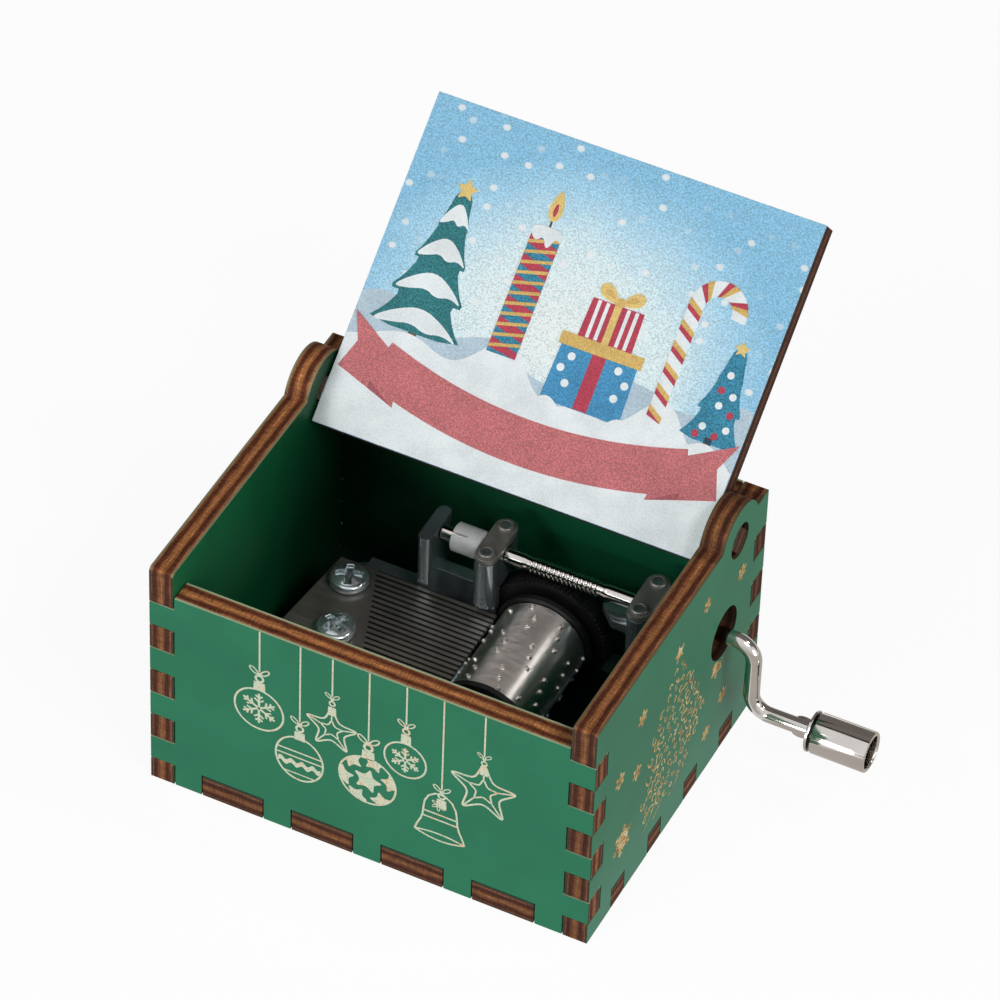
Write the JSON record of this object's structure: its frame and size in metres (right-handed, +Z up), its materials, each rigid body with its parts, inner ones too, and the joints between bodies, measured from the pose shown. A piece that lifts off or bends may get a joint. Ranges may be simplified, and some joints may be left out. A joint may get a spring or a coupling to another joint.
{
  "type": "hand-cranked music box",
  "caption": "Small finger-jointed plywood music box with a hinged lid and a bent side crank that turns a pinned drum past a steel comb through a worm drive.",
  "frame": {"origin": "centre of the underside of the base, on the surface that the box stands on", "axes": "+X to the side where the crank leaves the case, -Y to the low front panel, +Z up"},
  "size_m": [0.086, 0.0755, 0.065],
  "materials": {
    "painted_ply": "plywood faces painted satin green, edges cut brown by the laser",
    "printed_ply": "plywood with a grainy matte winter print, edges cut dark brown",
    "zinc_casting": "dark blackened zinc die casting, satin",
    "strap_steel": "dark oiled steel strip",
    "comb_steel": "hardened spring steel, dark satin",
    "lead": "dull grey lead",
    "zinc_plate": "bright bluish zinc plating",
    "nickel_plate": "polished nickel plating",
    "white_plastic": "milky white nylon",
    "black_plastic": "black moulded plastic",
    "bright_steel": "bright drawn steel"
  },
  "bodies": {
    "case": {"base_panel": "painted_ply", "front_panel": "painted_ply", "back_panel": "painted_ply", "left_side_panel": "painted_ply", "right_side_panel": "painted_ply", "movement_frame": "zinc_casting", "comb": "comb_steel", "tuning_weight_1": "lead", "tuning_weight_2": "lead", "tuning_weight_3": "lead", "tuning_weight_4": "lead", "tuning_weight_5": "lead", "tuning_weight_6": "lead", "comb_screw_rear": "zinc_plate", "comb_screw_front": "zinc_plate", "left_strap": "strap_steel", "right_strap": "strap_steel", "drum_arbor": "bright_steel", "base_screw_1": "zinc_plate", "base_screw_2": "zinc_plate", "base_screw_3": "zinc_plate"},
    "lid": {"lid_panel": "printed_ply"},
    "crank": {"crank_shaft": "nickel_plate", "shaft_bush": "white_plastic"},
    "knob": {"crank_knob": "nickel_plate"},
    "drum": {"pin_drum": "nickel_plate", "worm_wheel": "black_plastic", "drum_front_cap": "black_plastic"}
  },
  "joints": [
    {"name": "lid_hinge", "type": "hinge", "parent": "case", "child": "lid", "pos_m": [0, 0.0168, 0.0364], "axis": [1, 0, 0], "range_deg": [0, 139.6]},
    {"name": "crank_turn", "type": "hinge", "parent": "case", "child": "crank", "pos_m": [0, 0.0136, 0.022], "axis": [1, 0, 0], "continuous": true},
    {"name": "drum_turn", "type": "hinge", "parent": "case", "child": "drum", "pos_m": [0.00745, 0, 0.0124], "axis": [0, 1, 0], "continuous": true},
    {"name": "knob_spin", "type": "hinge", "parent": "crank", "child": "knob", "pos_m": [0, 0.0136, 0.0106], "axis": [1, 0, 0], "continuous": true}
  ],
  "couplings": [
    {"joint": "drum_turn", "follows": "crank_turn", "ratio": -0.0125}
  ]
}
